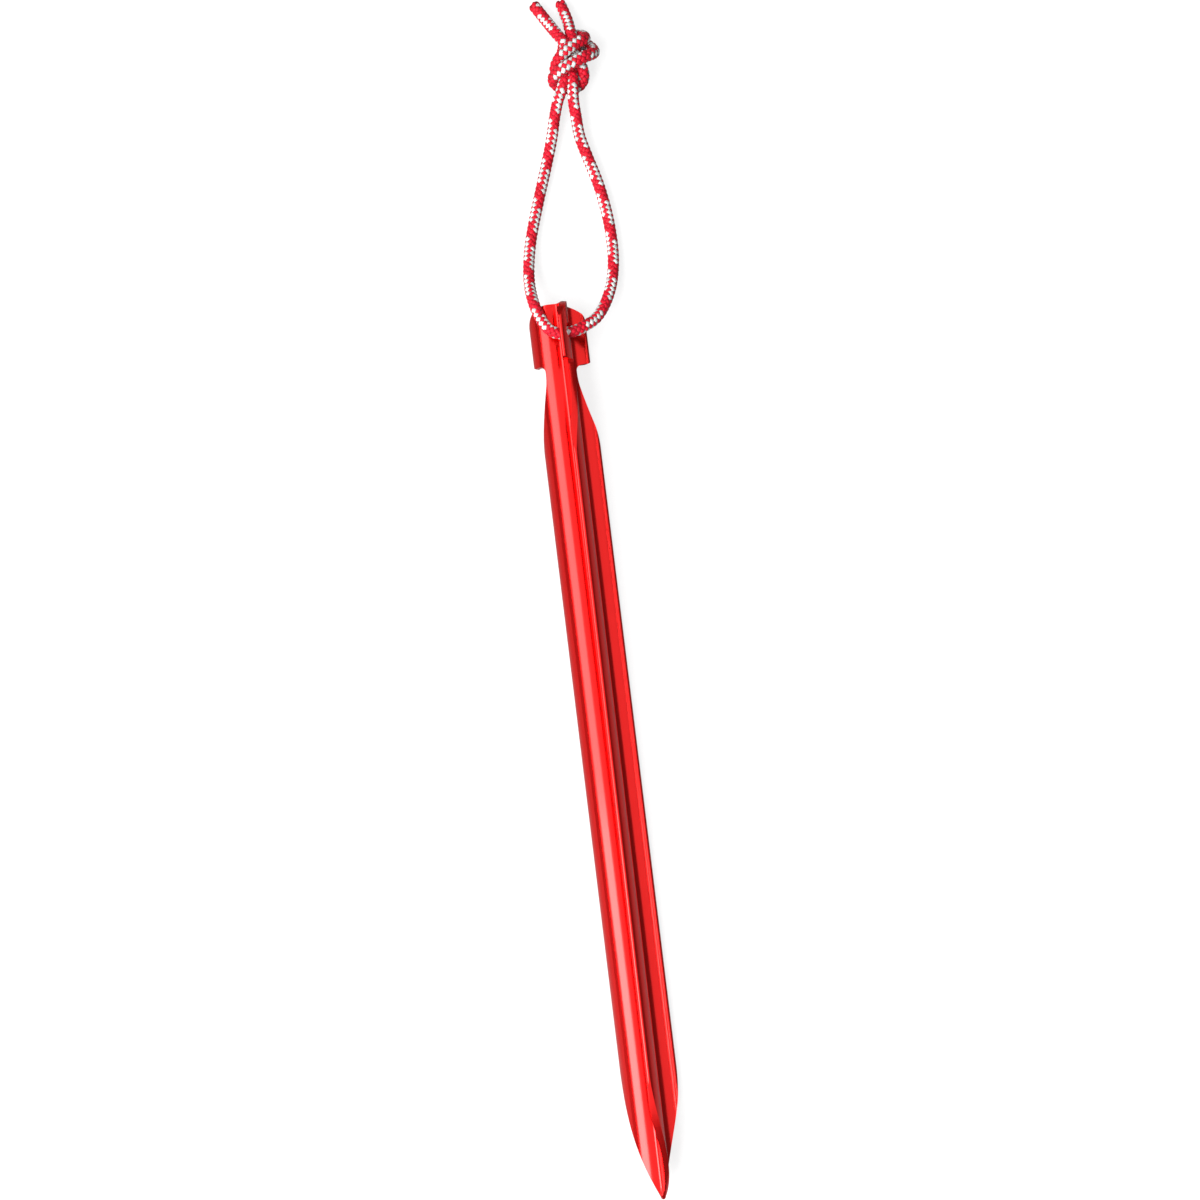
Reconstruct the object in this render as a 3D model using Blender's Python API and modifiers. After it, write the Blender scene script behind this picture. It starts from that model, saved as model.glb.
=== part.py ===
"""Tent stake: an extruded aluminium stake with three curved fins, and its corded pull loop.

The stake lies along Y on the surface z = 0, with its head towards +Y and its point towards -Y.
It rests on two of its fins and the third stands up. The pull loop is threaded through the hole
in that fin, is laid out beyond the head, and is closed by a doubled overhand knot with two tails.
"""

import math

import bmesh
import bpy
from mathutils import Vector
from mathutils.geometry import interpolate_bezier

MM = 0.001

# Extruded section: three equal fins, each of them bent sideways in an arc, in the same sense
LENGTH = 190.0 * MM
FIN_REACH = 6.35 * MM  # from the hub to the centre of a fin's rounded edge
FIN_BOW = 1.41 * MM  # how far the arc's middle stands off the straight line between its ends
WALL = 1.1 * MM
ROOT_FILLET = 0.8 * MM
EDGE_STEPS = 8
FIN_STEPS = 12
FILLET_STEPS = 5

# Turned shape: radii from the hub, and places measured from the head's top
TURNED_RADIUS = FIN_REACH + WALL / 2 + 0.05 * MM  # passes just outside the fins, where nothing is cut
HEAD_CORNER = 4.8 * MM
HEAD_END = 12.65 * MM
HEAD_LOWER_CORNER = 0.9 * MM
NOTCH_CORNER = 1.25 * MM
THROAT_RADIUS = 3.9 * MM
SHOULDER_CONE = ((4.2 * MM, 17.3 * MM), (6.1 * MM, 26.2 * MM))
SHOULDER_END = 33.5 * MM
OGIVE_LENGTH = 31.0 * MM
OGIVE_RADIUS = 76.0 * MM
OGIVE_STEPS = 14
POINT_ROUNDING = 0.5 * MM
BLEND_STEPS = 5
TURNING_STEPS = 48

# Hole for the loop, through the upright fin only
HOLE_RADIUS = 2.0 * MM
HOLE_FROM_TOP = 6.8 * MM
HOLE_OFF_AXIS = 4.0 * MM
HOLE_STEPS = 28

# Loop cord, its route point by point in millimetres, and its knot
CORD_RADIUS = 1.25 * MM
CORD_SPACING = 4.0 * MM
LOOP_ROUTE = (
    (7.57, 139.6, 3.08), (6.1, 136.4, 2.1), (3.8, 131.3, 1.6), (1.4, 125.0, 1.6), (-1.0, 118.0, 1.6),
    (-3.3, 110.6, 1.7), (-4.7, 104.6, 2.2), (-5.1, 99.6, 3.6), (-4.7, 95.2, 5.6), (-3.7, 91.8, 6.6),
    (-2.4, 89.4, 7.2), (-1.0, 88.4, 7.5), (0.4, 88.1, 7.6), (1.8, 88.1, 7.6), (3.0, 88.3, 7.5), (4.8, 89.0, 7.0),
    (7.8, 90.8, 5.6), (10.4, 94.2, 4.0), (12.3, 98.6, 2.6), (13.3, 103.5, 1.8), (13.5, 108.5, 1.6),
    (13.2, 114.0, 1.6), (12.3, 120.0, 1.6), (11.1, 126.0, 1.6), (9.9, 131.6, 1.6), (9.5, 136.4, 2.1),
    (9.96, 139.45, 3.04),
)
LEFT_TAIL_ROUTE = ((7.57, 151.91, 3.4), (6.0, 154.6, 2.5), (4.4, 157.2, 1.8), (3.0, 159.4, 1.6))
RIGHT_TAIL_ROUTE = ((10.35, 152.75, 3.3), (9.6, 154.6, 2.5), (8.9, 156.8, 1.8), (8.3, 158.8, 1.6))
KNOT_CENTRE = Vector((9.3, 145.8, 3.8)) * MM
KNOT_SIZE = Vector((10.8, 12.2, 7.0)) * MM

HEAD_TOP = LENGTH / 2


def clear_scene():
    for obj in list(bpy.data.objects):
        bpy.data.objects.remove(obj, do_unlink=True)


def new_collection(name):
    collection = bpy.data.collections.new(name)
    bpy.context.scene.collection.children.link(collection)
    return collection


def principled(name, colour, roughness, metallic):
    material = bpy.data.materials.new(name)
    material.use_nodes = True
    shader = material.node_tree.nodes["Principled BSDF"]
    shader.inputs["Base Color"].default_value = (*colour, 1.0)
    shader.inputs["Roughness"].default_value = roughness
    shader.inputs["Metallic"].default_value = metallic
    return material


def arc(centre, radius, start, end, steps):
    """Points of a flat arc, from one angle to another in degrees."""
    angles = [math.radians(start + (end - start) * i / steps) for i in range(steps + 1)]
    return [(centre[0] + radius * math.cos(a), centre[1] + radius * math.sin(a)) for a in angles]


def blend(start, corner, end):
    """Points of a smooth bend that leaves the start, and reaches the end, in the corner's direction."""
    start, corner, end = Vector(start), Vector(corner), Vector(end)
    handles = (start.lerp(corner, 2 / 3), end.lerp(corner, 2 / 3))
    return [tuple(p)[:2] for p in interpolate_bezier(start, *handles, end, BLEND_STEPS + 1)]


def meeting(line, radius):
    """The place along the axis at which a cone's line reaches a radius."""
    (r0, at0), (r1, at1) = line
    return at0 + (at1 - at0) * (radius - r0) / (r1 - r0)


def turned(point, degrees):
    cos, sin = math.cos(math.radians(degrees)), math.sin(math.radians(degrees))
    return point[0] * cos - point[1] * sin, point[0] * sin + point[1] * cos


def angle_of(origin, target):
    return math.degrees(math.atan2(target[1] - origin[1], target[0] - origin[0]))


def circles_meet(first, first_radius, second, second_radius):
    """The two points that lie at the given distances from two centres, nearest the hub first."""
    gap = Vector(second) - Vector(first)
    along = (gap.length_squared + first_radius**2 - second_radius**2) / (2 * gap.length)
    across = math.sqrt(first_radius**2 - along**2)
    foot = Vector(first) + gap.normalized() * along
    side = Vector((-gap.y, gap.x)).normalized() * across
    return sorted((foot + side, foot - side), key=lambda point: point.length)


def fin_arc():
    """Radius of a fin's middle line, half the angle that it covers, and its centre for the upper fin."""
    radius = (FIN_REACH**2 / 4 + FIN_BOW**2) / (2 * FIN_BOW)
    half_angle = math.degrees(math.asin(FIN_REACH / 2 / radius))
    return radius, half_angle, (FIN_BOW - radius, FIN_REACH / 2)


def section_outline():
    """The extruded section about its hub: three curved fins with round edges and filleted roots."""
    radius, half_angle, centre = fin_arc()
    inner, outer = radius - WALL / 2, radius + WALL / 2
    next_centre = turned(centre, -120)
    fillet = circles_meet(centre, outer + ROOT_FILLET, next_centre, inner - ROOT_FILLET)[0]
    root_angle = angle_of(centre, fillet)
    next_root = angle_of(next_centre, fillet)
    start = next_root + 120
    start -= 360 * round((start - half_angle) / 360)
    fillet_start = root_angle + 180
    fillet_end = next_root + 360 * round((fillet_start - next_root) / 360)
    one_fin = arc(centre, inner, start, half_angle, FIN_STEPS)
    one_fin += arc((0.0, FIN_REACH), WALL / 2, half_angle + 180, half_angle, EDGE_STEPS)[1:]
    one_fin += arc(centre, outer, half_angle, root_angle, FIN_STEPS)[1:]
    one_fin += arc(fillet, ROOT_FILLET, fillet_start, fillet_end, FILLET_STEPS)[1:-1]
    return [turned(point, -120 * fin) for fin in range(3) for point in one_fin]


def lying_section():
    """The outline turned to lie on two fins, its hub's height, and its hub's distance from the middle."""
    radius, _, centre = fin_arc()
    left_edge = Vector(turned((0.0, FIN_REACH), 120))
    right_centre = Vector(turned(centre, -120))
    between = right_centre - left_edge
    lean = math.degrees(math.asin(-radius / between.length)) + angle_of((0.0, 0.0), between)
    outline = [turned(point, -lean) for point in section_outline()]
    height = -turned(left_edge, -lean)[1] + WALL / 2
    across = [x for x, _ in outline]
    return outline, height, -(min(across) + max(across)) / 2


def turned_profile():
    """Radius and distance from the head's top, for the shape that is turned on all three fins."""
    outer = TURNED_RADIUS
    cone_low, cone_high = SHOULDER_CONE
    throat_corner = (THROAT_RADIUS, meeting(SHOULDER_CONE, THROAT_RADIUS))
    throat_start = (THROAT_RADIUS, HEAD_END + NOTCH_CORNER)
    profile = [(0.0, 0.0)]
    profile += arc((outer - HEAD_CORNER, HEAD_CORNER), HEAD_CORNER, -90, 0, 12)
    lower_centre = (outer - HEAD_LOWER_CORNER, HEAD_END - HEAD_LOWER_CORNER)
    profile += arc(lower_centre, HEAD_LOWER_CORNER, 0, 90, 5)
    notch_centre = (THROAT_RADIUS + NOTCH_CORNER, HEAD_END + NOTCH_CORNER)
    profile += arc(notch_centre, NOTCH_CORNER, 270, 180, 6)
    profile += blend(throat_start, throat_corner, cone_low)[1:]
    profile += blend(cone_high, (outer, meeting(SHOULDER_CONE, outer)), (outer, SHOULDER_END))
    ogive_start, ogive_end = LENGTH - OGIVE_LENGTH, LENGTH - POINT_ROUNDING
    for step in range(OGIVE_STEPS + 1):
        at = ogive_start + (ogive_end - ogive_start) * step / OGIVE_STEPS
        profile.append((outer - OGIVE_RADIUS + math.sqrt(OGIVE_RADIUS**2 - (at - ogive_start) ** 2), at))
    blunt = profile[-1][0]
    profile += blend(profile[-1], (blunt * 0.8, LENGTH), (blunt * 0.3, LENGTH))[1:]
    profile += [(0.0, LENGTH)]
    return profile


def closed_curve(name, outline, depth, collection):
    """A flat outline, extruded by half its depth to each side of its own plane."""
    data = bpy.data.curves.new(name, "CURVE")
    data.dimensions = "2D"
    data.fill_mode = "BOTH"
    data.extrude = depth / 2
    spline = data.splines.new("POLY")
    spline.points.add(len(outline) - 1)
    for point, (x, y) in zip(spline.points, outline):
        point.co = (x, y, 0.0, 1.0)
    spline.use_cyclic_u = True
    obj = bpy.data.objects.new(name, data)
    collection.objects.link(obj)
    return obj


def to_mesh(curve_object, material):
    """Replaces a curve object by the mesh that it makes, with its caps welded on."""
    bpy.context.view_layer.update()
    graph = bpy.context.evaluated_depsgraph_get()
    mesh = bpy.data.meshes.new_from_object(curve_object.evaluated_get(graph))
    shape = bmesh.new()
    shape.from_mesh(mesh)
    bmesh.ops.remove_doubles(shape, verts=shape.verts, dist=0.001 * MM)
    bmesh.ops.recalc_face_normals(shape, faces=shape.faces)
    shape.to_mesh(mesh)
    shape.free()
    name, collection = curve_object.name, curve_object.users_collection[0]
    placed = curve_object.matrix_world.copy()
    bpy.data.objects.remove(curve_object, do_unlink=True)
    obj = bpy.data.objects.new(name, mesh)
    obj.matrix_world = placed
    collection.objects.link(obj)
    mesh.materials.clear()
    mesh.materials.append(material)
    return obj


def as_cutter(obj):
    obj.hide_render = True
    obj.display_type = "WIRE"
    return obj


def turned_solid(profile, collection):
    """The solid that the head, the notch, the shoulder and the point are turned to."""
    mesh = bpy.data.meshes.new("turned_shape")
    low_to_high = [(r, 0.0, at - LENGTH / 2) for r, at in profile]
    points = low_to_high[::-1]
    mesh.from_pydata(points, [(i, i + 1) for i in range(len(points) - 1)], [])
    obj = bpy.data.objects.new("turned_shape", mesh)
    collection.objects.link(obj)
    screw = obj.modifiers.new("turning", "SCREW")
    screw.steps = TURNING_STEPS
    screw.render_steps = TURNING_STEPS
    screw.use_merge_vertices = True
    screw.merge_threshold = 0.00001
    screw.use_smooth_shade = False
    return as_cutter(obj)


def hole_drill(hub, collection):
    mesh = bpy.data.meshes.new("hole_drill")
    shape = bmesh.new()
    bmesh.ops.create_cone(
        shape, cap_ends=True, segments=HOLE_STEPS, radius1=HOLE_RADIUS, radius2=HOLE_RADIUS, depth=8 * MM
    )
    shape.to_mesh(mesh)
    shape.free()
    obj = bpy.data.objects.new("hole_drill", mesh)
    obj.rotation_euler = (0.0, math.radians(90), 0.0)
    obj.location = hub + Vector((0.0, HEAD_TOP - HOLE_FROM_TOP, HOLE_OFF_AXIS))
    collection.objects.link(obj)
    return as_cutter(obj)


def boolean(obj, operation, cutter):
    modifier = obj.modifiers.new(cutter.name, "BOOLEAN")
    modifier.operation = operation
    modifier.solver = "EXACT"
    modifier.object = cutter


def stake(parts, cutters):
    """The extruded bar, turned at its head, neck and point, then drilled through the upper fin."""
    anodised = principled("red_anodised_aluminium", (0.78, 0.02, 0.03), 0.3, 0.9)
    outline, height, off_middle = lying_section()
    hub = Vector((off_middle, 0.0, height))
    bar = closed_curve("stake", outline, LENGTH + 2 * MM, parts)
    bar.rotation_euler = (math.radians(90), 0.0, 0.0)
    bar.location = hub
    bar = to_mesh(bar, anodised)
    shape = turned_solid(turned_profile(), cutters)
    shape.matrix_world = bar.matrix_world
    boolean(bar, "INTERSECT", shape)
    boolean(bar, "DIFFERENCE", hole_drill(hub, cutters))
    return bar


def smooth_route(route, spacing):
    """Evenly spaced points on the smooth curve through a route's points."""
    ends = [2 * route[0] - route[1]] + list(route) + [2 * route[-1] - route[-2]]
    fine = []
    for before, start, end, after in zip(ends, ends[1:], ends[2:], ends[3:]):
        first_handle = start + (end - before) / 6
        second_handle = end - (after - start) / 6
        fine += interpolate_bezier(start, first_handle, second_handle, end, 17)[:-1]
    fine.append(route[-1])
    travelled = [0.0]
    for a, b in zip(fine, fine[1:]):
        travelled.append(travelled[-1] + (b - a).length)
    steps = round(travelled[-1] / spacing)
    points = []
    for i in range(steps + 1):
        wanted = travelled[-1] * i / steps
        at = min(next(k for k, done in enumerate(travelled) if done >= wanted - 1e-9), len(fine) - 1)
        if at == 0:
            points.append(fine[0])
            continue
        share = (wanted - travelled[at - 1]) / (travelled[at] - travelled[at - 1])
        points.append(fine[at - 1].lerp(fine[at], share))
    return points


def cord_tube(name, route, collection, material):
    data = bpy.data.curves.new(name, "CURVE")
    data.dimensions = "3D"
    data.bevel_depth = CORD_RADIUS
    data.bevel_resolution = 2
    data.use_fill_caps = True
    points = smooth_route([Vector(p) * MM for p in route], CORD_SPACING)
    spline = data.splines.new("POLY")
    spline.points.add(len(points) - 1)
    for point, place in zip(spline.points, points):
        point.co = (*place, 1.0)
    data.materials.append(material)
    obj = bpy.data.objects.new(name, data)
    collection.objects.link(obj)
    return obj


def cord_knot(collection, material):
    """The outer shape of the doubled overhand knot that closes the loop."""
    mesh = bpy.data.meshes.new("pull_cord_knot")
    shape = bmesh.new()
    bmesh.ops.create_uvsphere(shape, u_segments=20, v_segments=12, radius=0.5)
    for vert in shape.verts:
        vert.co = Vector(size * value for size, value in zip(KNOT_SIZE, vert.co))
    shape.to_mesh(mesh)
    shape.free()
    mesh.shade_smooth()
    mesh.materials.append(material)
    obj = bpy.data.objects.new("pull_cord_knot", mesh)
    obj.location = KNOT_CENTRE
    collection.objects.link(obj)
    return obj


def main():
    clear_scene()
    parts = new_collection("tent_stake")
    cutters = new_collection("cutters")
    braid = principled("red_and_white_braid", (0.72, 0.03, 0.06), 0.8, 0.0)
    stake(parts, cutters)
    cord_tube("pull_cord", LOOP_ROUTE, parts, braid)
    cord_knot(parts, braid)
    cord_tube("pull_cord_left_tail", LEFT_TAIL_ROUTE, parts, braid)
    cord_tube("pull_cord_right_tail", RIGHT_TAIL_ROUTE, parts, braid)


main()
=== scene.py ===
"""A tent stake lying on a pale surface, with its braided pull loop laid out beyond the head."""

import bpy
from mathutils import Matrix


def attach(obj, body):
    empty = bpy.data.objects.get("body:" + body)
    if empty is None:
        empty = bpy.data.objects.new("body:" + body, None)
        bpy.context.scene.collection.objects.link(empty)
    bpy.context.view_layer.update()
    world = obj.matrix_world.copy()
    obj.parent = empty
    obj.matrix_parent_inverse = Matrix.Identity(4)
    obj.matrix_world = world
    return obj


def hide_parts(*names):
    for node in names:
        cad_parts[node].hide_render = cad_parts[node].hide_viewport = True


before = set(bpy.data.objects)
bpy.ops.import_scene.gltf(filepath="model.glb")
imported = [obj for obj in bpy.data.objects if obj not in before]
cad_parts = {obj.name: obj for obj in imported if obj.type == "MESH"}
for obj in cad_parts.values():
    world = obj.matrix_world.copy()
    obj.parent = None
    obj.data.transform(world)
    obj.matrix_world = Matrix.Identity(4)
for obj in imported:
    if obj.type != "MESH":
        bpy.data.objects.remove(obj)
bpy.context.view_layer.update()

import math

import bmesh
import bpy
from mathutils import Vector
from mathutils.geometry import interpolate_bezier

# ---------------------------------------------------------------------------------------------
# Camera: looks straight down from a little to the left of the stake, turned a few degrees about
# its own axis, so that the stake leans across the picture and its standing fin shows one side.
camera_lens = bpy.data.cameras.new("camera")
camera_lens.sensor_width = 36.0
camera_lens.lens = 37.8
camera_lens.clip_start = 0.01
camera = bpy.data.objects.new("camera", camera_lens)
camera_lens.shift_x = 0.06
camera.location = (-0.0134, 0.0338, 0.270)
camera.rotation_euler = (0.0, 0.0, math.radians(-6.86))
bpy.context.scene.collection.objects.link(camera)
bpy.context.scene.camera = camera


# ---------------------------------------------------------------------------------------------
# Pull cord: one length of braided accessory cord, polyester sheath over a core, sixteen carriers
# with five white yarns among the red. It runs through the hole in the standing fin, and both
# halves are tied together in one overhand knot. Each half is a piece, from the hole to its cut end.
MM = 0.001
CORD_DIAMETER = 2.5 * MM
LINE_SPACING = 0.5 * MM
LEFT_HALF_ROUTE = (
    (1.2, 88.1, 7.6), (0.4, 88.1, 7.6), (-1.0, 88.4, 7.5), (-2.4, 89.4, 7.2), (-3.7, 91.8, 6.6),
    (-4.7, 95.2, 5.6), (-5.1, 99.6, 3.6), (-4.7, 104.6, 2.2), (-3.4, 110.6, 1.5), (-1.0, 118.0, 1.4),
    (1.4, 124.8, 1.5), (3.3, 130.5, 1.9), (4.5, 135.0, 2.4), (5.5, 138.0, 2.9), (6.6, 140.1, 3.5),
    (7.4, 142.2, 3.8), (7.6, 144.5, 3.7), (7.6, 146.8, 3.2), (7.9, 149.0, 2.4), (8.9, 151.0, 1.6),
    (10.8, 151.9, 1.4), (12.3, 151.5, 2.1), (12.7, 150.3, 3.7), (12.1, 149.3, 5.3), (10.7, 148.5, 6.1),
    (9.0, 147.5, 6.3), (7.4, 146.5, 5.8), (6.2, 145.6, 4.6), (5.7, 144.7, 3.1), (6.1, 143.7, 1.8),
    (7.5, 143.1, 1.3), (9.1, 143.3, 1.5), (10.1, 144.2, 2.4), (10.3, 145.4, 3.4), (9.8, 147.0, 3.9),
    (8.9, 148.6, 4.1), (7.9, 150.3, 3.8), (6.9, 152.3, 3.0), (5.8, 154.5, 2.1), (4.4, 157.1, 1.5),
    (2.9, 159.6, 1.35),
)
RIGHT_HALF_ROUTE = (
    (1.2, 88.1, 7.6), (1.8, 88.1, 7.6), (3.0, 88.3, 7.5), (4.8, 89.0, 7.0), (7.8, 90.8, 5.6),
    (10.4, 94.2, 4.0), (12.3, 98.6, 2.6), (13.3, 103.5, 1.7), (13.5, 108.5, 1.4), (13.1, 114.0, 1.4),
    (12.1, 120.0, 1.4), (10.6, 125.5, 1.6), (9.3, 130.4, 2.0), (9.0, 134.6, 2.5), (8.8, 137.2, 3.1),
    (8.9, 139.8, 3.6), (9.1, 142.0, 3.8), (8.9, 144.2, 3.5), (9.0, 146.5, 3.0), (9.8, 148.7, 2.2),
    (11.2, 149.9, 1.5), (12.8, 149.9, 1.4), (14.0, 148.7, 2.1), (14.3, 147.2, 3.6), (13.5, 146.1, 5.2),
    (11.9, 145.3, 6.2), (9.7, 144.4, 6.5), (7.7, 143.7, 6.2), (6.1, 143.2, 5.2), (5.1, 142.7, 3.8),
    (5.2, 142.3, 2.2), (6.3, 141.7, 1.3), (8.0, 141.2, 1.25), (9.8, 141.1, 1.3), (11.0, 141.5, 2.0),
    (11.6, 142.4, 3.0), (11.5, 143.8, 3.6), (10.9, 145.6, 3.7), (10.4, 147.7, 3.7), (10.1, 149.9, 3.7),
    (9.9, 152.3, 3.0), (9.7, 154.6, 2.2), (9.2, 157.0, 1.6), (8.6, 159.2, 1.35),
)


def add_node(tree, kind, inputs=(), **settings):
    """A node with its settings, and with each named input linked to a socket or set to a value."""
    made = tree.nodes.new(kind)
    for setting, value in settings.items():
        setattr(made, setting, value)
    for name, value in dict(inputs).items():
        if isinstance(value, bpy.types.NodeSocket):
            tree.links.new(value, made.inputs[name])
        else:
            made.inputs[name].default_value = value
    return made


def maths(tree, operation, first, second=0.0):
    return add_node(tree, "ShaderNodeMath", {0: first, 1: second}, operation=operation).outputs[0]


def new_tree(name, kind, inputs, outputs):
    """A node group with typed, named sockets, and its input and output nodes."""
    tree = bpy.data.node_groups.new(name, kind)
    for socket_name, socket_type, value in inputs:
        socket = tree.interface.new_socket(socket_name, in_out="INPUT", socket_type=socket_type)
        if value is not None:
            socket.default_value = value
    for socket_name, socket_type in outputs:
        tree.interface.new_socket(socket_name, in_out="OUTPUT", socket_type=socket_type)
    return tree, tree.nodes.new("NodeGroupInput"), tree.nodes.new("NodeGroupOutput")


def smooth_line(route, spacing):
    """Evenly spaced points, in metres, on the smooth curve through a route given in millimetres."""
    stops = [Vector(stop) * MM for stop in route]
    ends = [2 * stops[0] - stops[1]] + stops + [2 * stops[-1] - stops[-2]]
    fine = []
    for before, start, end, after in zip(ends, ends[1:], ends[2:], ends[3:]):
        handles = (start + (end - before) / 6, end - (after - start) / 6)
        fine += interpolate_bezier(start, *handles, end, 33)[:-1]
    fine.append(stops[-1])
    total = sum((b - a).length for a, b in zip(fine, fine[1:]))
    step = total / round(total / spacing)
    points, travelled = [fine[0]], 0.0
    for a, b in zip(fine, fine[1:]):
        reach = (b - a).length
        while travelled + reach >= step * len(points) - 1e-9:
            points.append(a.lerp(b, (step * len(points) - travelled) / reach))
        travelled += reach
    return points


def braid_tree():
    """Yarn picks set row by row on a cord's surface, over a plain core, for a curve of any shape."""
    tree, given, result = new_tree(
        "braided_cord",
        "GeometryNodeTree",
        (
            ("Cord", "NodeSocketGeometry", None),
            ("Cord Radius", "NodeSocketFloat", CORD_DIAMETER / 2),
            ("Core Radius", "NodeSocketFloat", 1.02 * MM),
            ("Pick Pitch", "NodeSocketFloat", 1.065 * MM),
            ("Columns", "NodeSocketInt", 8),
            ("Carriers", "NodeSocketInt", 8),
            ("White Carriers", "NodeSocketInt", 5),
            ("Yarn Angle", "NodeSocketFloat", math.radians(41)),
            ("Pick Size", "NodeSocketVector", (0.52 * MM, 0.84 * MM, 0.38 * MM)),
            ("Squareness", "NodeSocketFloat", 3.4),
            ("End Dip", "NodeSocketFloat", 0.7),
            ("Roll From", "NodeSocketFloat", 50.0 * MM),
            ("Roll Per Metre", "NodeSocketFloat", -21.8),
            ("Turn", "NodeSocketFloat", 0.0),
            ("Yarn", "NodeSocketMaterial", None),
        ),
        (("Cord", "NodeSocketGeometry"),),
    )
    get = given.outputs
    index = add_node(tree, "GeometryNodeInputIndex").outputs[0]
    length = add_node(tree, "GeometryNodeCurveLength", {"Curve": get["Cord"]}).outputs[0]
    rows = maths(tree, "FLOOR", maths(tree, "DIVIDE", length, get["Pick Pitch"]))
    count = maths(tree, "MULTIPLY", rows, get["Columns"])
    row = maths(tree, "FLOOR", maths(tree, "DIVIDE", maths(tree, "ADD", index, 0.5), get["Columns"]))
    column = maths(tree, "SUBTRACT", index, maths(tree, "MULTIPLY", row, get["Columns"]))
    odd = maths(tree, "MODULO", column, 2.0)
    stagger = maths(tree, "MULTIPLY", odd, 0.5)
    steps_along = maths(tree, "ADD", maths(tree, "ADD", row, 0.3), stagger)
    along = maths(tree, "MULTIPLY", steps_along, get["Pick Pitch"])
    at = add_node(
        tree, "GeometryNodeSampleCurve", {"Curves": get["Cord"], "Length": along}, mode="LENGTH",
        use_all_curves=True,
    ).outputs
    share = maths(tree, "DIVIDE", maths(tree, "MULTIPLY", column, math.tau), get["Columns"])
    rolled_length = maths(tree, "MAXIMUM", maths(tree, "SUBTRACT", along, get["Roll From"]), 0.0)
    roll = maths(tree, "MULTIPLY", rolled_length, get["Roll Per Metre"])
    round_angle = maths(tree, "ADD", maths(tree, "ADD", share, get["Turn"]), roll)
    outward = add_node(
        tree, "ShaderNodeVectorRotate",
        {"Vector": at["Normal"], "Axis": at["Tangent"], "Angle": round_angle}, rotation_type="AXIS_ANGLE",
    ).outputs[0]
    side = maths(tree, "SUBTRACT", 1.0, maths(tree, "MULTIPLY", odd, 2.0))
    lean = maths(tree, "MULTIPLY", side, get["Yarn Angle"])
    lie = add_node(
        tree, "ShaderNodeVectorRotate", {"Vector": at["Tangent"], "Axis": outward, "Angle": lean},
        rotation_type="AXIS_ANGLE",
    ).outputs[0]
    facing = add_node(
        tree, "FunctionNodeAxesToRotation", {"Primary Axis": outward, "Secondary Axis": lie},
        primary_axis="Z", secondary_axis="Y",
    ).outputs[0]
    pick_size = add_node(tree, "ShaderNodeSeparateXYZ", {0: get["Pick Size"]}).outputs
    sunk = maths(tree, "SUBTRACT", get["Cord Radius"], pick_size["Z"])
    lifted = add_node(
        tree, "ShaderNodeVectorMath", {0: outward, "Scale": sunk}, operation="SCALE"
    ).outputs[0]
    place = add_node(
        tree, "ShaderNodeVectorMath", {0: at["Position"], 1: lifted}, operation="ADD"
    ).outputs[0]
    seats = add_node(tree, "GeometryNodePoints", {"Count": count, "Position": place}).outputs[0]

    ball = add_node(
        tree, "GeometryNodeMeshUVSphere", {"Segments": 12, "Rings": 6, "Radius": 1.0}
    ).outputs[0]
    where = add_node(tree, "GeometryNodeInputPosition").outputs[0]
    parts = add_node(tree, "ShaderNodeSeparateXYZ", {0: where}).outputs
    squares = (maths(tree, "POWER", parts["X"], 2.0), maths(tree, "POWER", parts["Y"], 2.0))
    flat_reach = maths(tree, "SQRT", maths(tree, "ADD", *squares))
    power_sum = maths(
        tree, "ADD",
        maths(tree, "POWER", maths(tree, "ABSOLUTE", parts["X"]), get["Squareness"]),
        maths(tree, "POWER", maths(tree, "ABSOLUTE", parts["Y"]), get["Squareness"]),
    )
    square_reach = maths(tree, "POWER", power_sum, maths(tree, "DIVIDE", 1.0, get["Squareness"]))
    fuller = maths(tree, "DIVIDE", flat_reach, maths(tree, "MAXIMUM", square_reach, 1e-4))
    dip = maths(tree, "MULTIPLY", maths(tree, "POWER", parts["Y"], 2.0), get["End Dip"])
    spread = add_node(
        tree, "ShaderNodeCombineXYZ",
        {
            "X": maths(tree, "MULTIPLY", parts["X"], fuller),
            "Y": maths(tree, "MULTIPLY", parts["Y"], fuller),
            "Z": maths(tree, "SUBTRACT", parts["Z"], dip),
        },
    ).outputs[0]
    block = add_node(tree, "GeometryNodeSetPosition", {"Geometry": ball, "Position": spread}).outputs[0]
    marked = add_node(
        tree, "GeometryNodeStoreNamedAttribute", {"Geometry": block, "Name": "yarn_place", "Value": where},
        data_type="FLOAT_VECTOR", domain="POINT",
    ).outputs[0]
    pick = add_node(tree, "GeometryNodeTransform", {"Geometry": marked, "Scale": get["Pick Size"]}).outputs[0]
    laid = add_node(
        tree, "GeometryNodeInstanceOnPoints", {"Points": seats, "Instance": pick, "Rotation": facing}
    ).outputs[0]
    turn_in_lay = maths(tree, "MODULO", maths(tree, "ADD", row, column), get["Carriers"])
    is_white = maths(tree, "LESS_THAN", turn_in_lay, get["White Carriers"])
    white = maths(tree, "MULTIPLY", is_white, maths(tree, "SUBTRACT", 1.0, odd))
    coloured = add_node(
        tree, "GeometryNodeStoreNamedAttribute", {"Geometry": laid, "Name": "white_yarn", "Value": white},
        data_type="FLOAT", domain="INSTANCE",
    ).outputs[0]
    chance = add_node(tree, "FunctionNodeRandomValue", {"ID": index, "Seed": 7}, data_type="FLOAT")
    shaded = add_node(
        tree, "GeometryNodeStoreNamedAttribute",
        {"Geometry": coloured, "Name": "yarn_shade", "Value": chance.outputs[1]},
        data_type="FLOAT", domain="INSTANCE",
    ).outputs[0]

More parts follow.
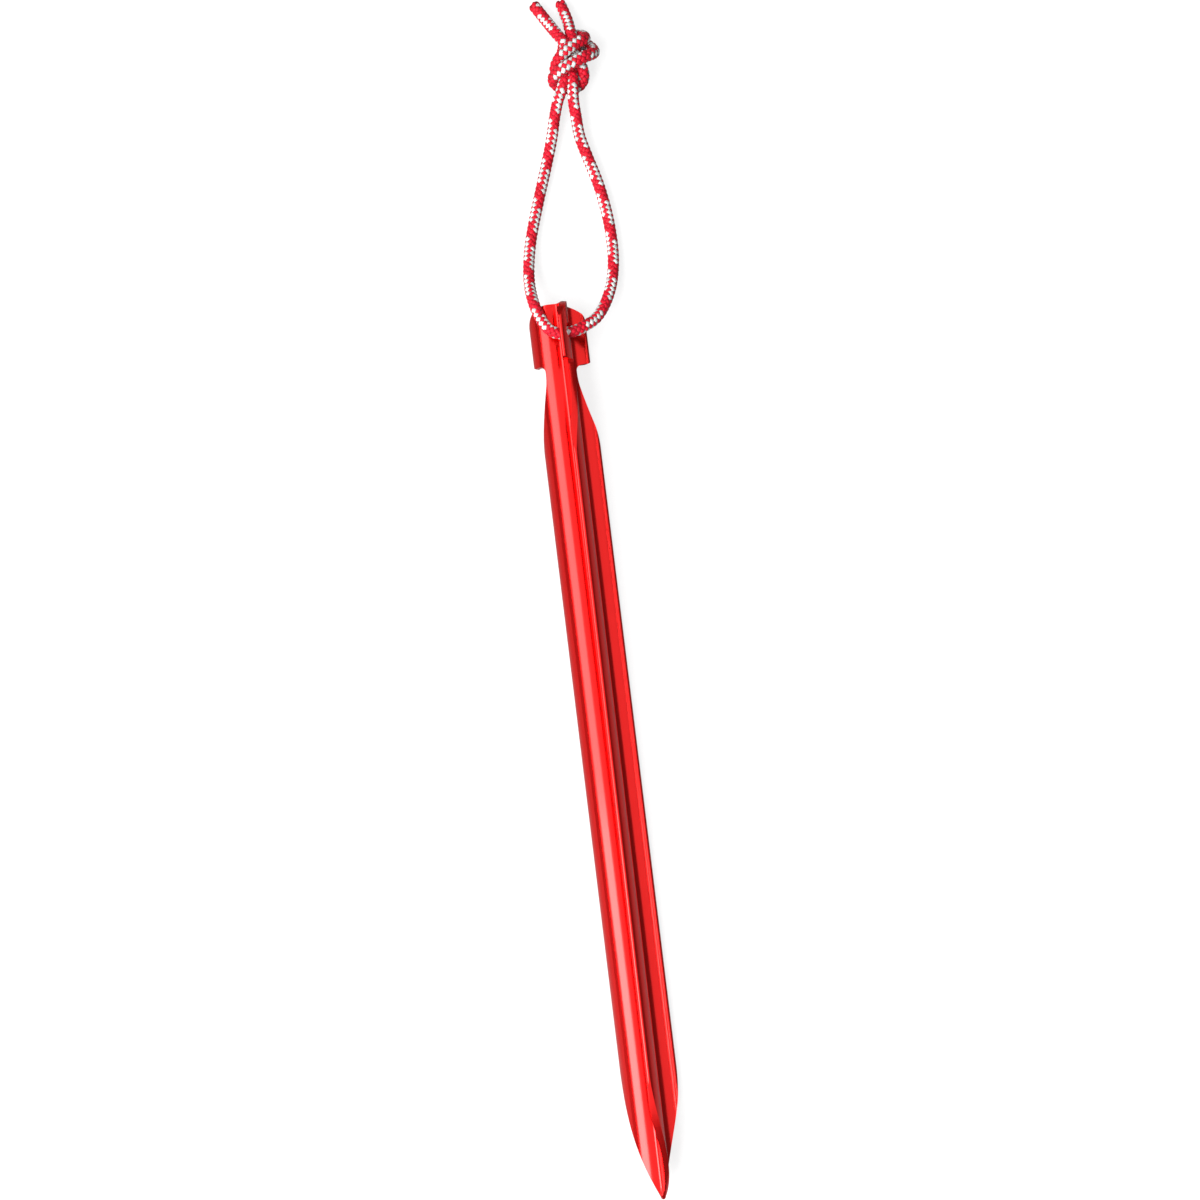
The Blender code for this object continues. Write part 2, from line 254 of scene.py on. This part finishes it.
    ring = add_node(
        tree, "GeometryNodeCurvePrimitiveCircle", {"Resolution": 20, "Radius": get["Core Radius"]}
    ).outputs[0]
    core = add_node(
        tree, "GeometryNodeCurveToMesh", {"Curve": get["Cord"], "Profile Curve": ring, "Fill Caps": True}
    ).outputs[0]
    both = tree.nodes.new("GeometryNodeJoinGeometry")
    tree.links.new(core, both.inputs[0])
    tree.links.new(shaded, both.inputs[0])
    real = add_node(tree, "GeometryNodeRealizeInstances", {"Geometry": both.outputs[0]}).outputs[0]
    smooth = add_node(tree, "GeometryNodeSetShadeSmooth", {"Geometry": real}).outputs[0]
    finished = add_node(
        tree, "GeometryNodeSetMaterial", {"Geometry": smooth, "Material": get["Yarn"]}
    ).outputs[0]
    tree.links.new(finished, result.inputs[0])
    return tree


RED_YARN = (0.64, 0.002, 0.020, 1.0)
WHITE_YARN = (0.66, 0.69, 0.68, 1.0)


def yarn_material():
    """Matte polyester yarn: red or white by pick, with filaments along each pick, soft sheen, and painted
    shade in the gaps between picks.
    """
    material = bpy.data.materials.new("braided_yarn")
    material.use_nodes = True
    tree = material.node_tree
    shader = tree.nodes["Principled BSDF"]
    shader.inputs["Roughness"].default_value = 0.55
    shader.inputs["Sheen Weight"].default_value = 0.08
    shader.inputs["Sheen Roughness"].default_value = 0.4
    shader.inputs["Specular IOR Level"].default_value = 0.22
    white = add_node(tree, "ShaderNodeAttribute", attribute_name="white_yarn").outputs["Fac"]
    shade = add_node(tree, "ShaderNodeAttribute", attribute_name="yarn_shade").outputs["Fac"]
    place = add_node(tree, "ShaderNodeAttribute", attribute_name="yarn_place").outputs["Vector"]
    stretched = add_node(tree, "ShaderNodeMapping", {"Vector": place, "Scale": (5.0, 0.6, 1.0)}).outputs[0]
    filaments = add_node(
        tree, "ShaderNodeTexNoise", {"Vector": stretched, "Scale": 1.6, "Detail": 3.0}
    ).outputs[0]
    # Painted shade: each pick's colour is darkened towards its low sides, down to 0.45 in the gaps between
    # picks. The core has no pick place, so it gets this darkest value throughout.
    height = add_node(tree, "ShaderNodeSeparateXYZ", {0: place}).outputs["Z"]
    painted_gap_shade = add_node(
        tree, "ShaderNodeMapRange",
        {"Value": height, "From Min": 0.1, "From Max": 0.75, "To Min": 0.45, "To Max": 1.0},
    ).outputs[0]
    hue = add_node(
        tree, "ShaderNodeMix",
        {"Factor": white, 6: RED_YARN, 7: WHITE_YARN}, data_type="RGBA",
    ).outputs[2]
    level = add_node(
        tree, "ShaderNodeMapRange", {"Value": shade, "To Min": 0.78, "To Max": 1.08}
    ).outputs[0]
    streak = add_node(
        tree, "ShaderNodeMapRange",
        {"Value": filaments, "From Min": 0.3, "From Max": 0.7, "To Min": 0.72, "To Max": 1.1},
    ).outputs[0]
    strength = maths(tree, "MULTIPLY", maths(tree, "MULTIPLY", level, streak), painted_gap_shade)
    colour = add_node(
        tree, "ShaderNodeVectorMath", {0: hue, "Scale": strength}, operation="SCALE"
    ).outputs[0]
    tree.links.new(colour, shader.inputs["Base Color"])
    bump = add_node(tree, "ShaderNodeBump", {"Strength": 0.5, "Distance": 0.06 * MM, "Height": filaments})
    tree.links.new(bump.outputs[0], shader.inputs["Normal"])
    return material


def apply_tree(obj, tree, values):
    """Runs a node tree on an object, and leaves a plain mesh object of the same name in its place."""
    modifier = obj.modifiers.new(tree.name, "NODES")
    modifier.node_group = tree
    for socket in tree.interface.items_tree:
        if socket.in_out == "INPUT" and socket.name in values:
            modifier[socket.identifier] = values[socket.name]
    bpy.context.view_layer.update()
    graph = bpy.context.evaluated_depsgraph_get()
    mesh = bpy.data.meshes.new_from_object(obj.evaluated_get(graph), depsgraph=graph)
    name = obj.name
    bpy.data.objects.remove(obj, do_unlink=True)
    piece = bpy.data.objects.new(name, mesh)
    bpy.context.scene.collection.objects.link(piece)
    return piece


def line_object(name, points):
    data = bpy.data.curves.new(name, "CURVE")
    data.dimensions = "3D"
    spline = data.splines.new("POLY")
    spline.points.add(len(points) - 1)
    for point, place in zip(spline.points, points):
        point.co = (*place, 1.0)
    obj = bpy.data.objects.new(name, data)
    bpy.context.scene.collection.objects.link(obj)
    return obj


braid = braid_tree()
yarn = yarn_material()
for name, route, turn, roll, nodes in (
    (
        "cord_left_half", LEFT_HALF_ROUTE, 1.09, -63.0,
        ("pull_cord", "pull_cord_knot", "pull_cord_left_tail"),
    ),
    ("cord_right_half", RIGHT_HALF_ROUTE, 1.69, -21.8, ("pull_cord_right_tail",)),
):
    line = smooth_line(route, LINE_SPACING)
    lay = {"Turn": turn, "Roll Per Metre": roll, "Yarn": yarn}
    half = apply_tree(line_object(name, line), braid, lay)
    half.data.materials.clear()
    half.data.materials.append(yarn)
    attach(half, "pull_loop")
    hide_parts(*nodes)


# ---------------------------------------------------------------------------------------------
# Stake: one aluminium extrusion with three fins that all curl the same way. Its head, notch,
# shoulder and point are turned on a lathe, the hole is drilled, and the whole is anodised red.
# Distances along it are from the head's top.
STAKE_LENGTH = 190.0 * MM
FIN_REACH = 6.35 * MM
FIN_BOW = 1.41 * MM
FIN_WALL = 1.1 * MM
ROOT_FILLET = 0.8 * MM
OUTER_RADIUS = 6.95 * MM
HOLE_RADIUS = 2.0 * MM
HOLE_FROM_TOP = 6.8 * MM
HOLE_ABOVE_HUB = 4.0 * MM
HEAD_CORNER = 4.8 * MM
HEAD_LOWER_CORNER = 0.9 * MM
HEAD_LOWER_CORNER_AT = 11.75 * MM
NOTCH_CORNER = 1.25 * MM
NOTCH_CORNER_AT = 13.9 * MM
THROAT_RADIUS = 3.9 * MM
SHOULDER_CONE = ((4.2 * MM, 17.3 * MM), (6.1 * MM, 26.2 * MM))
SHOULDER_END = 33.5 * MM
OGIVE_LENGTH = 31.0 * MM
OGIVE_CUT = 30.5 * MM
OGIVE_RADIUS = 76.0 * MM
OGIVE_STEPS = 60
HEAD_TWIST = math.radians(-3.2)  # an estimate of a slight twist along the bar
POINT_TWIST = math.radians(3.2)
TWISTED_REST = 0.28 * MM  # lifts the twisted bar, whose lowest edge then clears the floor by 0.05 mm
FACE_STEPS, EDGE_STEPS, FILLET_STEPS = 52, 18, 10


def flat_arc(centre, radius, start, end, steps):
    """Points of a flat arc, from one angle to another in degrees."""
    angles = [math.radians(start + (end - start) * i / steps) for i in range(steps + 1)]
    return [(centre[0] + radius * math.cos(a), centre[1] + radius * math.sin(a)) for a in angles]


def turn_about_hub(point, degrees):
    cos, sin = math.cos(math.radians(degrees)), math.sin(math.radians(degrees))
    return point[0] * cos - point[1] * sin, point[0] * sin + point[1] * cos


def bearing(origin, target):
    return math.degrees(math.atan2(target[1] - origin[1], target[0] - origin[0]))


def fin_section():
    """The section, turned to lie on two fins, with its hub's height and its distance from x = 0."""
    radius = (FIN_REACH**2 / 4 + FIN_BOW**2) / (2 * FIN_BOW)
    half_angle = math.degrees(math.asin(FIN_REACH / 2 / radius))
    centre = (FIN_BOW - radius, FIN_REACH / 2)
    inner, outer = radius - FIN_WALL / 2, radius + FIN_WALL / 2
    next_centre = turn_about_hub(centre, -120)
    first, second = Vector(centre), Vector(next_centre)
    near, far = outer + ROOT_FILLET, inner - ROOT_FILLET
    gap = second - first
    along = (gap.length_squared + near**2 - far**2) / (2 * gap.length)
    foot = first + gap.normalized() * along
    side = Vector((-gap.y, gap.x)).normalized() * math.sqrt(near**2 - along**2)
    fillet = min((foot + side, foot - side), key=lambda point: point.length)
    root, next_root = bearing(centre, fillet), bearing(next_centre, fillet)
    start = next_root + 120
    start -= 360 * round((start - half_angle) / 360)
    fillet_end = next_root + 360 * round((root + 180 - next_root) / 360)
    fin = flat_arc(centre, inner, start, half_angle, FACE_STEPS)
    fin += flat_arc((0.0, FIN_REACH), FIN_WALL / 2, half_angle + 180, half_angle, EDGE_STEPS)[1:]
    fin += flat_arc(centre, outer, half_angle, root, FACE_STEPS)[1:]
    fin += flat_arc(fillet, ROOT_FILLET, root + 180, fillet_end, FILLET_STEPS)[1:-1]
    left_edge = Vector(turn_about_hub((0.0, FIN_REACH), 120))
    between = second - left_edge
    lean = math.degrees(math.asin(-radius / between.length)) + bearing((0.0, 0.0), between)
    outline = [turn_about_hub(point, -120 * number - lean) for number in range(3) for point in fin]
    hub_height = -turn_about_hub(left_edge, -lean)[1] + FIN_WALL / 2
    across = [x for x, _ in outline]
    return outline, hub_height, -(min(across) + max(across)) / 2


def bend(start, corner, end, steps=10):
    start, corner, end = Vector(start), Vector(corner), Vector(end)
    handles = (start.lerp(corner, 2 / 3), end.lerp(corner, 2 / 3))
    return [tuple(point)[:2] for point in interpolate_bezier(start, *handles, end, steps + 1)]


def turning():
    """Radius and distance from the head's top, all the way down what the lathe cuts."""
    cone_low, cone_high = SHOULDER_CONE
    slope = (cone_high[1] - cone_low[1]) / (cone_high[0] - cone_low[0])
    cut = [(0.0, 0.0)]
    cut += flat_arc((OUTER_RADIUS - HEAD_CORNER, HEAD_CORNER), HEAD_CORNER, -90, 0, 40)
    cut += flat_arc((OUTER_RADIUS - HEAD_LOWER_CORNER, HEAD_LOWER_CORNER_AT), HEAD_LOWER_CORNER, 0, 90, 12)
    cut += flat_arc((THROAT_RADIUS + NOTCH_CORNER, NOTCH_CORNER_AT), NOTCH_CORNER, 270, 180, 16)
    throat_corner = (THROAT_RADIUS, cone_low[1] + (THROAT_RADIUS - cone_low[0]) * slope)
    cut += bend((THROAT_RADIUS, NOTCH_CORNER_AT), throat_corner, cone_low)[1:]
    full = cone_high[1] + (OUTER_RADIUS - cone_high[0]) * slope
    cut += bend(cone_high, (OUTER_RADIUS, full), (OUTER_RADIUS, SHOULDER_END))
    ogive_start = STAKE_LENGTH - OGIVE_LENGTH
    for step in range(OGIVE_STEPS + 1):
        at = ogive_start + OGIVE_CUT * step / OGIVE_STEPS
        drop = OGIVE_RADIUS - math.sqrt(OGIVE_RADIUS**2 - (at - ogive_start) ** 2)
        cut.append((OUTER_RADIUS - drop, at))
    blunt = cut[-1][0]
    cut += bend(cut[-1], (blunt * 0.8, STAKE_LENGTH), (blunt * 0.3, STAKE_LENGTH), 6)[1:]
    return cut


def turned_bar_tree():
    """An outline drawn out into a slightly twisted bar, cut to what a lathe leaves, and drilled across."""
    tree, given, result = new_tree(
        "turned_bar",
        "GeometryNodeTree",
        (
            ("Section", "NodeSocketGeometry", None),
            ("Lathe Line", "NodeSocketObject", None),
            ("Length", "NodeSocketFloat", STAKE_LENGTH),
            ("Round Steps", "NodeSocketInt", 180),
            ("Hole Radius", "NodeSocketFloat", HOLE_RADIUS),
            ("Hole Place", "NodeSocketVector", (0.0, HOLE_ABOVE_HUB, HOLE_FROM_TOP)),
            ("Hub", "NodeSocketVector", (0.0, 0.0, 0.0)),
            ("Head Twist", "NodeSocketFloat", HEAD_TWIST),
            ("Point Twist", "NodeSocketFloat", POINT_TWIST),
            ("Twist Steps", "NodeSocketInt", 40),
            ("Metal", "NodeSocketMaterial", None),
        ),
        (("Bar", "NodeSocketGeometry"),),
    )
    get = given.outputs
    overrun = 1.0 * MM
    finish_at = maths(tree, "ADD", get["Length"], overrun)
    finish = add_node(tree, "ShaderNodeCombineXYZ", {"Z": finish_at}).outputs[0]
    axis = add_node(
        tree, "GeometryNodeCurvePrimitiveLine", {"Start": (0.0, 0.0, -overrun), "End": finish}
    ).outputs[0]
    stepped = add_node(
        tree, "GeometryNodeResampleCurve", {"Curve": axis, "Count": get["Twist Steps"]}, mode="COUNT"
    ).outputs[0]
    way_down = tree.nodes.new("GeometryNodeSplineParameter").outputs["Factor"]
    whole_twist = maths(tree, "SUBTRACT", get["Point Twist"], get["Head Twist"])
    twist = maths(tree, "ADD", get["Head Twist"], maths(tree, "MULTIPLY", way_down, whole_twist))
    twisted = add_node(tree, "GeometryNodeSetCurveTilt", {"Curve": stepped, "Tilt": twist}).outputs[0]
    bar = add_node(
        tree, "GeometryNodeCurveToMesh",
        {"Curve": twisted, "Profile Curve": get["Section"], "Fill Caps": True},
    ).outputs[0]
    drawn = add_node(
        tree, "GeometryNodeStoreNamedAttribute", {"Geometry": bar, "Name": "cut_face", "Value": 0.0},
        data_type="FLOAT", domain="FACE",
    ).outputs[0]
    lathe = add_node(tree, "GeometryNodeObjectInfo", {"Object": get["Lathe Line"]}).outputs["Geometry"]
    ring = add_node(
        tree, "GeometryNodeCurvePrimitiveCircle", {"Resolution": get["Round Steps"], "Radius": 1.0}
    ).outputs[0]
    reach = tree.nodes.new("GeometryNodeInputRadius").outputs[0]
    swept = add_node(
        tree, "GeometryNodeCurveToMesh",
        {"Curve": lathe, "Profile Curve": ring, "Scale": reach, "Fill Caps": True},
    ).outputs[0]
    turned = add_node(
        tree, "GeometryNodeStoreNamedAttribute", {"Geometry": swept, "Name": "cut_face", "Value": 1.0},
        data_type="FLOAT", domain="FACE",
    ).outputs[0]
    left = add_node(
        tree, "GeometryNodeMeshBoolean", {"Mesh 2": drawn}, operation="INTERSECT", solver="EXACT"
    )
    tree.links.new(turned, left.inputs["Mesh 2"])
    drill = add_node(
        tree, "GeometryNodeMeshCylinder", {"Vertices": 72, "Radius": get["Hole Radius"], "Depth": 8.0 * MM}
    ).outputs[0]
    across = add_node(
        tree, "GeometryNodeTransform",
        {"Geometry": drill, "Translation": get["Hole Place"], "Rotation": (0.0, math.radians(90), 0.0)},
    ).outputs[0]
    head_turn = add_node(tree, "ShaderNodeCombineXYZ", {"Z": get["Head Twist"]}).outputs[0]
    squared_up = add_node(
        tree, "GeometryNodeTransform", {"Geometry": across, "Rotation": head_turn}
    ).outputs[0]
    drilled = add_node(
        tree, "GeometryNodeStoreNamedAttribute", {"Geometry": squared_up, "Name": "cut_face", "Value": 1.0},
        data_type="FLOAT", domain="FACE",
    ).outputs[0]
    bored = add_node(
        tree, "GeometryNodeMeshBoolean", {"Mesh 1": left.outputs[0], "Mesh 2": drilled},
        operation="DIFFERENCE", solver="EXACT",
    ).outputs[0]
    lying = add_node(
        tree, "GeometryNodeTransform",
        {"Geometry": bored, "Translation": get["Hub"], "Rotation": (math.radians(90), 0.0, 0.0)},
    ).outputs[0]
    real = add_node(tree, "GeometryNodeRealizeInstances", {"Geometry": lying}).outputs[0]
    finished = add_node(
        tree, "GeometryNodeSetMaterial", {"Geometry": real, "Material": get["Metal"]}
    ).outputs[0]
    tree.links.new(finished, result.inputs[0])
    return tree


def drawn_marks_group():
    """Fine straight marks on a drawn or turned surface, from a pattern stretched along them."""
    group, given, result = new_tree(
        "tool_marks",
        "ShaderNodeTree",
        (("Place", "NodeSocketVector", None), ("Stretch", "NodeSocketVector", (1.0, 1.0, 1.0))),
        (("Height", "NodeSocketFloat"), ("Gloss Change", "NodeSocketFloat")),
    )
    scaled = add_node(
        group, "ShaderNodeVectorMath", {0: given.outputs["Place"], 1: given.outputs["Stretch"]},
        operation="MULTIPLY",
    ).outputs[0]
    fine = add_node(group, "ShaderNodeTexNoise", {"Vector": scaled, "Scale": 1.0, "Detail": 4.0}).outputs[0]
    broad = add_node(group, "ShaderNodeTexNoise", {"Vector": scaled, "Scale": 0.13, "Detail": 2.0}).outputs[0]
    height = maths(group, "ADD", fine, maths(group, "MULTIPLY", broad, 2.0))
    change = add_node(
        group, "ShaderNodeMapRange",
        {"Value": fine, "From Min": 0.3, "From Max": 0.7, "To Min": -0.03, "To Max": 0.05},
    ).outputs[0]
    group.links.new(height, result.inputs["Height"])
    group.links.new(change, result.inputs["Gloss Change"])
    return group


def anodised_material(marks):
    """Red dyed anodising on aluminium: coloured metal under a thin clear glossy layer."""
    material = bpy.data.materials.new("red_anodised_aluminium")
    material.use_nodes = True
    tree = material.node_tree
    shader = tree.nodes["Principled BSDF"]
    shader.inputs["Metallic"].default_value = 0.9
    shader.inputs["Coat Weight"].default_value = 0.3
    shader.inputs["Coat Roughness"].default_value = 0.16
    shader.inputs["Coat IOR"].default_value = 1.5
    place = tree.nodes.new("ShaderNodeTexCoord").outputs["Object"]
    cut = add_node(tree, "ShaderNodeAttribute", attribute_name="cut_face").outputs["Fac"]
    drawn = add_node(tree, "ShaderNodeGroup", node_tree=marks)
    tree.links.new(place, drawn.inputs["Place"])
    drawn.inputs["Stretch"].default_value = (2600.0, 9.0, 2600.0)
    lathed = add_node(tree, "ShaderNodeGroup", node_tree=marks)
    tree.links.new(place, lathed.inputs["Place"])
    lathed.inputs["Stretch"].default_value = (60.0, 5200.0, 60.0)
    height = add_node(
        tree, "ShaderNodeMix", {"Factor": cut, 2: drawn.outputs["Height"], 3: lathed.outputs["Height"]}
    ).outputs[0]
    change = add_node(
        tree, "ShaderNodeMix",
        {"Factor": cut, 2: drawn.outputs["Gloss Change"], 3: lathed.outputs["Gloss Change"]},
    ).outputs[0]
    bump = add_node(tree, "ShaderNodeBump", {"Strength": 0.35, "Distance": 0.004 * MM, "Height": height})
    tree.links.new(bump.outputs[0], shader.inputs["Normal"])
    tree.links.new(maths(tree, "ADD", change, 0.21), shader.inputs["Roughness"])
    clouds = add_node(
        tree, "ShaderNodeTexNoise", {"Vector": place, "Scale": 260.0, "Detail": 3.0}
    ).outputs[0]
    colour = add_node(
        tree, "ShaderNodeMix",
        {"Factor": clouds, 6: (0.82, 0.006, 0.005, 1.0), 7: (0.88, 0.009, 0.008, 1.0)}, data_type="RGBA",
    ).outputs[2]
    tree.links.new(colour, shader.inputs["Base Color"])
    return material


outline, hub_height, hub_side = fin_section()
section = line_object("stake_body", [(x, y, 0.0) for x, y in outline])
section.data.splines[0].use_cyclic_u = True
lathe_steps = turning()
nudge = 0.5e-6  # keeps steps at one distance apart, so that the sweep has no doubled ring
lathe_places = [(0.0, 0.0, at + nudge * i) for i, (_, at) in enumerate(lathe_steps)]
lathe_line = line_object("lathe_line", lathe_places)
for point, (radius, _) in zip(lathe_line.data.splines[0].points, lathe_steps):
    point.radius = max(radius, 1e-6)
anodised = anodised_material(drawn_marks_group())
stake_body = apply_tree(
    section,
    turned_bar_tree(),
    {
        "Lathe Line": lathe_line,
        "Hub": (hub_side, STAKE_LENGTH / 2, hub_height + TWISTED_REST),
        "Metal": anodised,
    },
)
bpy.data.objects.remove(lathe_line, do_unlink=True)
stake_body.data.materials.clear()
stake_body.data.materials.append(anodised)
shape = bmesh.new()
shape.from_mesh(stake_body.data)
bmesh.ops.remove_doubles(shape, verts=shape.verts, dist=0.002 * MM)
bmesh.ops.recalc_face_normals(shape, faces=shape.faces)
shape.to_mesh(stake_body.data)
shape.free()
stake_body.data.shade_smooth()
stake_body.data.set_sharp_from_angle(angle=math.radians(28))
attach(stake_body, "stake")
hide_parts("stake")


# ---------------------------------------------------------------------------------------------
# Floor: a plain pale sheet, wide enough to be seen past the stake from any side. It glows only
# where the camera sees it directly, so that it looks white and lights nothing.
def floor_material():
    material = bpy.data.materials.new("pale_floor")
    material.use_nodes = True
    tree = material.node_tree
    shader = tree.nodes["Principled BSDF"]
    shader.inputs["Roughness"].default_value = 0.75
    shader.inputs["Specular IOR Level"].default_value = 0.2
    place = tree.nodes.new("ShaderNodeTexCoord").outputs["Object"]
    grain = add_node(tree, "ShaderNodeTexNoise", {"Vector": place, "Scale": 900.0, "Detail": 2.0}).outputs[0]
    colour = add_node(
        tree, "ShaderNodeMix",
        {"Factor": grain, 6: (0.20, 0.20, 0.20, 1.0), 7: (0.22, 0.22, 0.22, 1.0)}, data_type="RGBA",
    ).outputs[2]
    tree.links.new(colour, shader.inputs["Base Color"])
    shader.inputs["Emission Color"].default_value = (1.0, 1.0, 1.0, 1.0)
    seen = tree.nodes.new("ShaderNodeLightPath").outputs["Is Camera Ray"]
    tree.links.new(maths(tree, "MULTIPLY", seen, 0.78), shader.inputs["Emission Strength"])
    return material


floor_mesh = bpy.data.meshes.new("floor")
sheet = bmesh.new()
bmesh.ops.create_grid(sheet, x_segments=1, y_segments=1, size=3.0)
sheet.to_mesh(floor_mesh)
sheet.free()
floor_mesh.materials.append(floor_material())
floor = bpy.data.objects.new("floor", floor_mesh)
bpy.context.scene.collection.objects.link(floor)


# ---------------------------------------------------------------------------------------------
# Light: two strong softboxes on the left, one at the head end and one at the point end, and a wide
# one overhead. The room gives little light, and is bright only where the camera sees it directly.
def softbox(name, bearing_degrees, distance, across, along, power, shift):
    """An area light that faces the stake's axis, at an angle from straight up towards +X."""
    lamp = bpy.data.lights.new(name, "AREA")
    lamp.shape = "RECTANGLE"
    lamp.size, lamp.size_y = across, along
    lamp.energy = power
    obj = bpy.data.objects.new(name, lamp)
    tilt = math.radians(bearing_degrees)
    obj.location = (distance * math.sin(tilt), shift, distance * math.cos(tilt))
    obj.rotation_euler = (0.0, tilt, 0.0)
    bpy.context.scene.collection.objects.link(obj)


softbox("key_softbox_head_end", -41.0, 0.55, 0.37, 0.34, 3.1, 0.08)
softbox("key_softbox_tip_end", -41.0, 0.55, 0.37, 0.40, 7.2, -0.30)
softbox("overhead_softbox", 8.5, 0.75, 0.84, 1.4, 3.35, 0.0)
world = bpy.data.worlds.new("studio")
world.use_nodes = True
world.node_tree.nodes["Background"].inputs["Color"].default_value = (1.0, 1.0, 1.0, 1.0)
seen_by = world.node_tree.nodes.new("ShaderNodeLightPath").outputs["Is Camera Ray"]
brightness = add_node(
    world.node_tree, "ShaderNodeMapRange", {"Value": seen_by, "To Min": 0.13, "To Max": 0.95}
)
world.node_tree.links.new(brightness.outputs[0], world.node_tree.nodes["Background"].inputs["Strength"])
bpy.context.scene.world = world
bpy.context.scene.view_settings.view_transform = "Standard"
